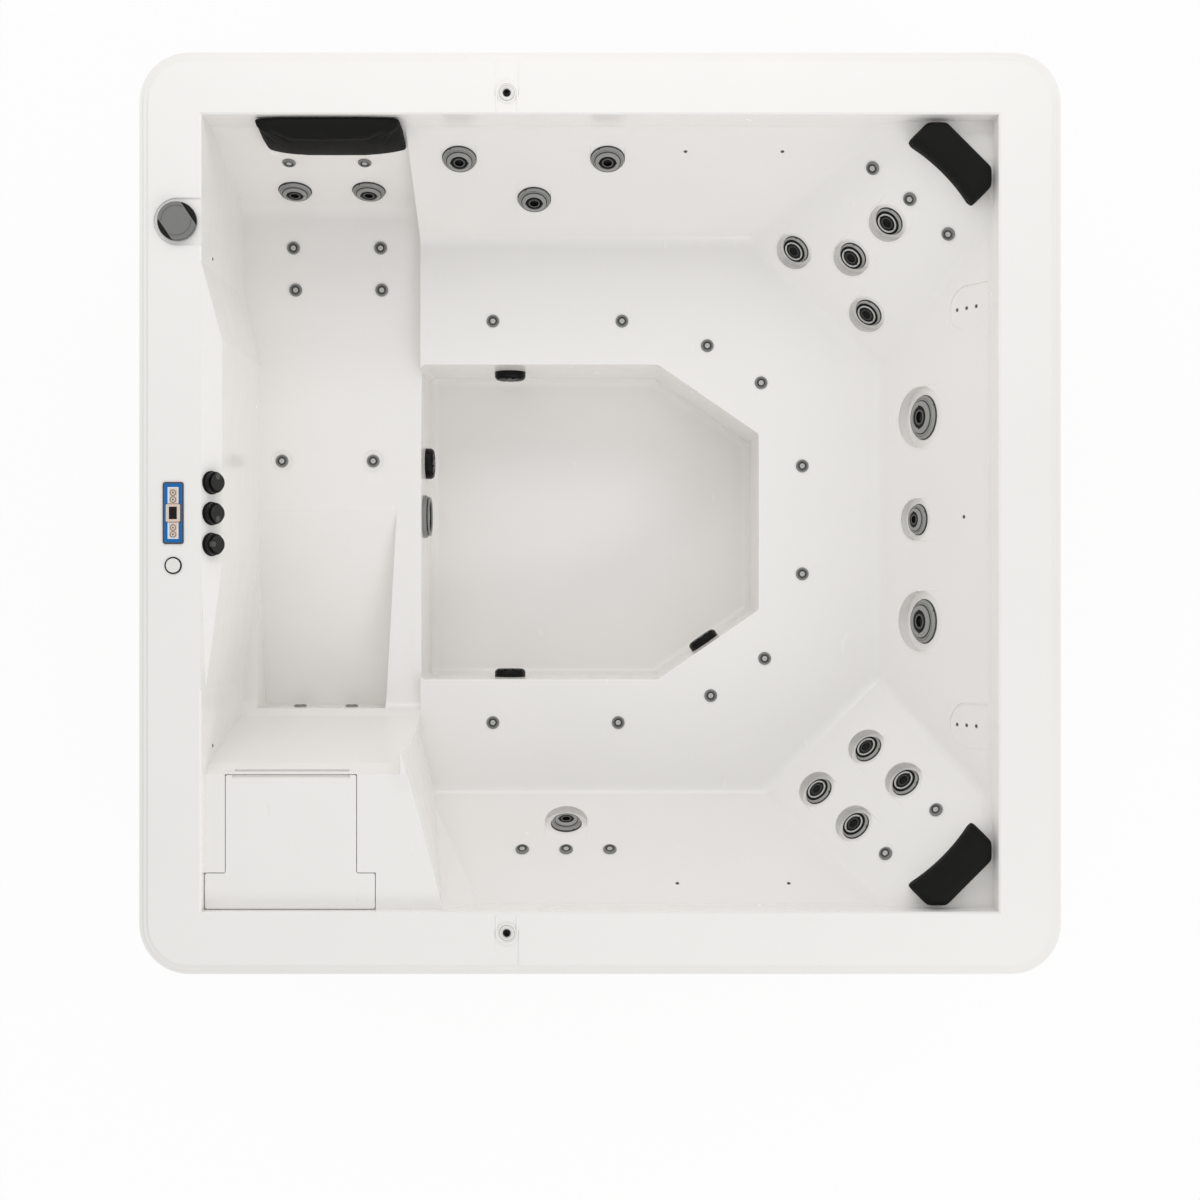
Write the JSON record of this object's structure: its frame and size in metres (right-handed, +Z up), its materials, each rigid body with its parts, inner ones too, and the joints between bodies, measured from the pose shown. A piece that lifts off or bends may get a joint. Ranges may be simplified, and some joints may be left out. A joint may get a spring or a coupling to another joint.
{
  "type": "hot tub",
  "caption": "Square acrylic hot tub with a lounge, corner seats, a footwell, turning jets, rim controls and a lift-off filter lid in a plank cabinet.",
  "frame": {"origin": "middle of the base, on the surface that the tub stands on", "axes": "+Z up, +Y towards the lounge's head end, +X away from the control side"},
  "size_m": [2.2, 2.2, 0.9153],
  "materials": {
    "acrylic": "high gloss white cast acrylic",
    "lid_acrylic": "gloss white moulded lid",
    "pillow_foam": "soft matt charcoal foam skin",
    "jet_bezel": "satin grey moulded plastic",
    "jet_black": "black moulded plastic",
    "fitting_grey": "satin grey moulded plastic",
    "pin_grey": "grey translucent plastic",
    "lens_clear": "clear prismatic lens",
    "panel_face": "dark panel with a plain printed film",
    "screen_black": "black display window",
    "key_rubber": "pale soft-touch key",
    "knob_black": "black moulded plastic",
    "diverter_grey": "grey moulded plastic",
    "button_white": "white moulded plastic",
    "filter_cloth": "pleated filter cloth with blue end caps",
    "cabinet_planks": "oiled reddish-brown planks",
    "corner_trim": "darker oiled wood",
    "pan_plastic": "black moulded pan",
    "timber": "sawn softwood",
    "foam_board": "foil-faced foam board",
    "screw_steel": "stainless steel",
    "motor_paint": "dark painted cast casing",
    "pump_plastic": "black moulded plastic",
    "impeller_plastic": "dark moulded plastic",
    "heater_case": "grey moulded case",
    "pipe_plastic": "white plastic pipe",
    "drain_plastic": "black moulded plastic"
  },
  "bodies": {
    "tub": {"acrylic_shell": "acrylic", "base_pan": "pan_plastic", "timber_frame": "timber", "panel_rear": "cabinet_planks", "panel_right": "cabinet_planks", "corner_trims": "corner_trim", "insulation_boards": "foam_board", "lounge_pillow": "pillow_foam", "rear_corner_pillow": "pillow_foam", "front_corner_pillow": "pillow_foam", "jet_bodies": "jet_black", "micro_jets": "fitting_grey", "air_injectors": "fitting_grey", "led_pins": "pin_grey", "suction_covers": "jet_black", "footwell_light": "fitting_grey", "light_lens": "lens_clear", "fountain_nozzles": "jet_black", "control_panel": "panel_face", "control_display": "screen_black", "control_bodies": "knob_black", "filter_cartridges": "filter_cloth", "pump_motors": "motor_paint", "pump_wet_ends": "pump_plastic", "heater_pack": "heater_case", "plumbing": "pipe_plastic", "drain_valve": "drain_plastic", "panel_front": "cabinet_planks"},
    "air_knob_1": {"air_knob_1": "knob_black"},
    "air_knob_2": {"air_knob_2": "knob_black"},
    "air_knob_3": {"air_knob_3": "knob_black"},
    "jet_face_01": {"jet_face_01": "jet_bezel"},
    "jet_face_02": {"jet_face_02": "jet_bezel"},
    "jet_face_03": {"jet_face_03": "jet_bezel"},
    "jet_face_04": {"jet_face_04": "jet_bezel"},
    "jet_face_05": {"jet_face_05": "jet_bezel"},
    "jet_face_06": {"jet_face_06": "jet_bezel"},
    "jet_face_07": {"jet_face_07": "jet_bezel"},
    "jet_face_08": {"jet_face_08": "jet_bezel"},
    "jet_face_09": {"jet_face_09": "jet_bezel"},
    "jet_face_10": {"jet_face_10": "jet_bezel"},
    "jet_face_11": {"jet_face_11": "jet_bezel"},
    "jet_face_12": {"jet_face_12": "jet_bezel"},
    "jet_face_13": {"jet_face_13": "jet_bezel"},
    "jet_face_14": {"jet_face_14": "jet_bezel"},
    "jet_face_15": {"jet_face_15": "jet_bezel"},
    "jet_face_16": {"jet_face_16": "jet_bezel"},
    "jet_face_17": {"jet_face_17": "jet_bezel"},
    "control_key_1": {"control_key_1": "key_rubber"},
    "control_key_2": {"control_key_2": "key_rubber"},
    "control_key_3": {"control_key_3": "key_rubber"},
    "control_key_4": {"control_key_4": "key_rubber"},
    "pump_impeller_1": {"pump_impeller_1": "impeller_plastic"},
    "pump_impeller_2": {"pump_impeller_2": "impeller_plastic"},
    "diverter_knob": {"diverter_knob": "diverter_grey"},
    "aux_button": {"aux_button": "button_white"},
    "filter_lid": {"filter_lid": "lid_acrylic"},
    "drain_cap": {"drain_cap": "drain_plastic"},
    "access_panel": {"access_panel": "cabinet_planks", "access_screws": "screw_steel"}
  },
  "joints": [
    {"name": "jet_face_01_turn", "type": "hinge", "parent": "tub", "child": "jet_face_01", "pos_m": [-0.35151, 0.897, 0.6999], "axis": [0, -0.8619, 0.507], "range_deg": [0, 90]},
    {"name": "jet_face_02_turn", "type": "hinge", "parent": "tub", "child": "jet_face_02", "pos_m": [0.01896, 0.897, 0.6999], "axis": [0, -0.8619, 0.507], "range_deg": [0, 90]},
    {"name": "jet_face_03_turn", "type": "hinge", "parent": "tub", "child": "jet_face_03", "pos_m": [-0.16912, 0.8252, 0.57784], "axis": [0, -0.8619, 0.507], "range_deg": [0, 90]},
    {"name": "jet_face_04_turn", "type": "hinge", "parent": "tub", "child": "jet_face_04", "pos_m": [-0.79703, 0.86321, 0.50991], "axis": [0, -0.9552, 0.296], "range_deg": [0, 90]},
    {"name": "jet_face_05_turn", "type": "hinge", "parent": "tub", "child": "jet_face_05", "pos_m": [-0.60411, 0.86321, 0.50991], "axis": [0, -0.9552, 0.296], "range_deg": [0, 90]},
    {"name": "jet_face_06_turn", "type": "hinge", "parent": "tub", "child": "jet_face_06", "pos_m": [0.83433, 0.2622, 0.58109], "axis": [-0.9252, 0, 0.3796], "range_deg": [0, 90]},
    {"name": "jet_face_07_turn", "type": "hinge", "parent": "tub", "child": "jet_face_07", "pos_m": [0.83433, -0.2622, 0.58109], "axis": [-0.9252, 0, 0.3796], "range_deg": [0, 90]},
    {"name": "jet_face_08_turn", "type": "hinge", "parent": "tub", "child": "jet_face_08", "pos_m": [0.82229, 0, 0.56985], "axis": [-0.9252, 0, 0.3796], "range_deg": [0, 90]},
    {"name": "jet_face_09_turn", "type": "hinge", "parent": "tub", "child": "jet_face_09", "pos_m": [-0.08742, -0.78832, 0.53898], "axis": [0, 0.9089, 0.4171], "range_deg": [0, 90]},
    {"name": "jet_face_10_turn", "type": "hinge", "parent": "tub", "child": "jet_face_10", "pos_m": [0.51515, 0.71456, 0.49054], "axis": [-0.5991, -0.5991, 0.5311], "range_deg": [0, 90]},
    {"name": "jet_face_11_turn", "type": "hinge", "parent": "tub", "child": "jet_face_11", "pos_m": [0.65433, 0.68191, 0.56308], "axis": [-0.5991, -0.5991, 0.5311], "range_deg": [0, 90]},
    {"name": "jet_face_12_turn", "type": "hinge", "parent": "tub", "child": "jet_face_12", "pos_m": [0.73046, 0.74955, 0.66097], "axis": [-0.5991, -0.5991, 0.5311], "range_deg": [0, 90]},
    {"name": "jet_face_13_turn", "type": "hinge", "parent": "tub", "child": "jet_face_13", "pos_m": [0.7039, 0.54586, 0.50419], "axis": [-0.5991, -0.5991, 0.5311], "range_deg": [0, 90]},
    {"name": "jet_face_14_turn", "type": "hinge", "parent": "tub", "child": "jet_face_14", "pos_m": [0.69809, -0.5952, 0.53383], "axis": [-0.5991, 0.5991, 0.5311], "range_deg": [0, 90]},
    {"name": "jet_face_15_turn", "type": "hinge", "parent": "tub", "child": "jet_face_15", "pos_m": [0.7759, -0.67089, 0.63835], "axis": [-0.5991, 0.5991, 0.5311], "range_deg": [0, 90]},
    {"name": "jet_face_16_turn", "type": "hinge", "parent": "tub", "child": "jet_face_16", "pos_m": [0.57103, -0.70679, 0.5233], "axis": [-0.5991, 0.5991, 0.5311], "range_deg": [0, 90]},
    {"name": "jet_face_17_turn", "type": "hinge", "parent": "tub", "child": "jet_face_17", "pos_m": [0.65108, -0.78196, 0.62899], "axis": [-0.5991, 0.5991, 0.5311], "range_deg": [0, 90]},
    {"name": "control_key_1_press", "type": "slide", "parent": "tub", "child": "control_key_1", "axis": [0, 0, -1], "range_m": [0, 0.001], "stiffness_N_per_m": 1500},
    {"name": "control_key_2_press", "type": "slide", "parent": "tub", "child": "control_key_2", "axis": [0, 0, -1], "range_m": [0, 0.001], "stiffness_N_per_m": 1500},
    {"name": "control_key_3_press", "type": "slide", "parent": "tub", "child": "control_key_3", "axis": [0, 0, -1], "range_m": [0, 0.001], "stiffness_N_per_m": 1500},
    {"name": "control_key_4_press", "type": "slide", "parent": "tub", "child": "control_key_4", "axis": [0, 0, -1], "range_m": [0, 0.001], "stiffness_N_per_m": 1500},
    {"name": "air_knob_1_turn", "type": "hinge", "parent": "tub", "child": "air_knob_1", "pos_m": [-0.9305, 0.074, 0.875], "axis": [0.7885, 0, 0.615], "range_deg": [0, 180]},
    {"name": "air_knob_2_turn", "type": "hinge", "parent": "tub", "child": "air_knob_2", "pos_m": [-0.9305, 0, 0.875], "axis": [0.7885, 0, 0.615], "range_deg": [-180, 0]},
    {"name": "air_knob_3_turn", "type": "hinge", "parent": "tub", "child": "air_knob_3", "pos_m": [-0.9305, -0.074, 0.875], "axis": [0.7885, 0, 0.615], "range_deg": [-90, 90]},
    {"name": "diverter_turn", "type": "hinge", "parent": "tub", "child": "diverter_knob", "pos_m": [-1.006, 0.694, 0.896], "axis": [0, 0, 1], "range_deg": [-90, 90]},
    {"name": "aux_button_press", "type": "slide", "parent": "tub", "child": "aux_button", "axis": [0, 0, -1], "range_m": [0, 0.003], "stiffness_N_per_m": 1200},
    {"name": "filter_lid_lift", "type": "slide", "parent": "tub", "child": "filter_lid", "axis": [0, 0, 1], "range_m": [0, 0.25]},
    {"name": "access_panel_pull", "type": "slide", "parent": "tub", "child": "access_panel", "axis": [-1, 0, 0], "range_m": [0, 0.3]},
    {"name": "drain_cap_turn", "type": "hinge", "parent": "tub", "child": "drain_cap", "pos_m": [-0.2, -1.075, 0.185], "axis": [0, -1, 0], "range_deg": [0, 270]},
    {"name": "pump_impeller_1_spin", "type": "hinge", "parent": "tub", "child": "pump_impeller_1", "pos_m": [-0.76, 0.46, 0.125], "axis": [0, -1, 0], "continuous": true},
    {"name": "pump_impeller_2_spin", "type": "hinge", "parent": "tub", "child": "pump_impeller_2", "pos_m": [-0.76, -0.13, 0.125], "axis": [0, -1, 0], "continuous": true}
  ]
}
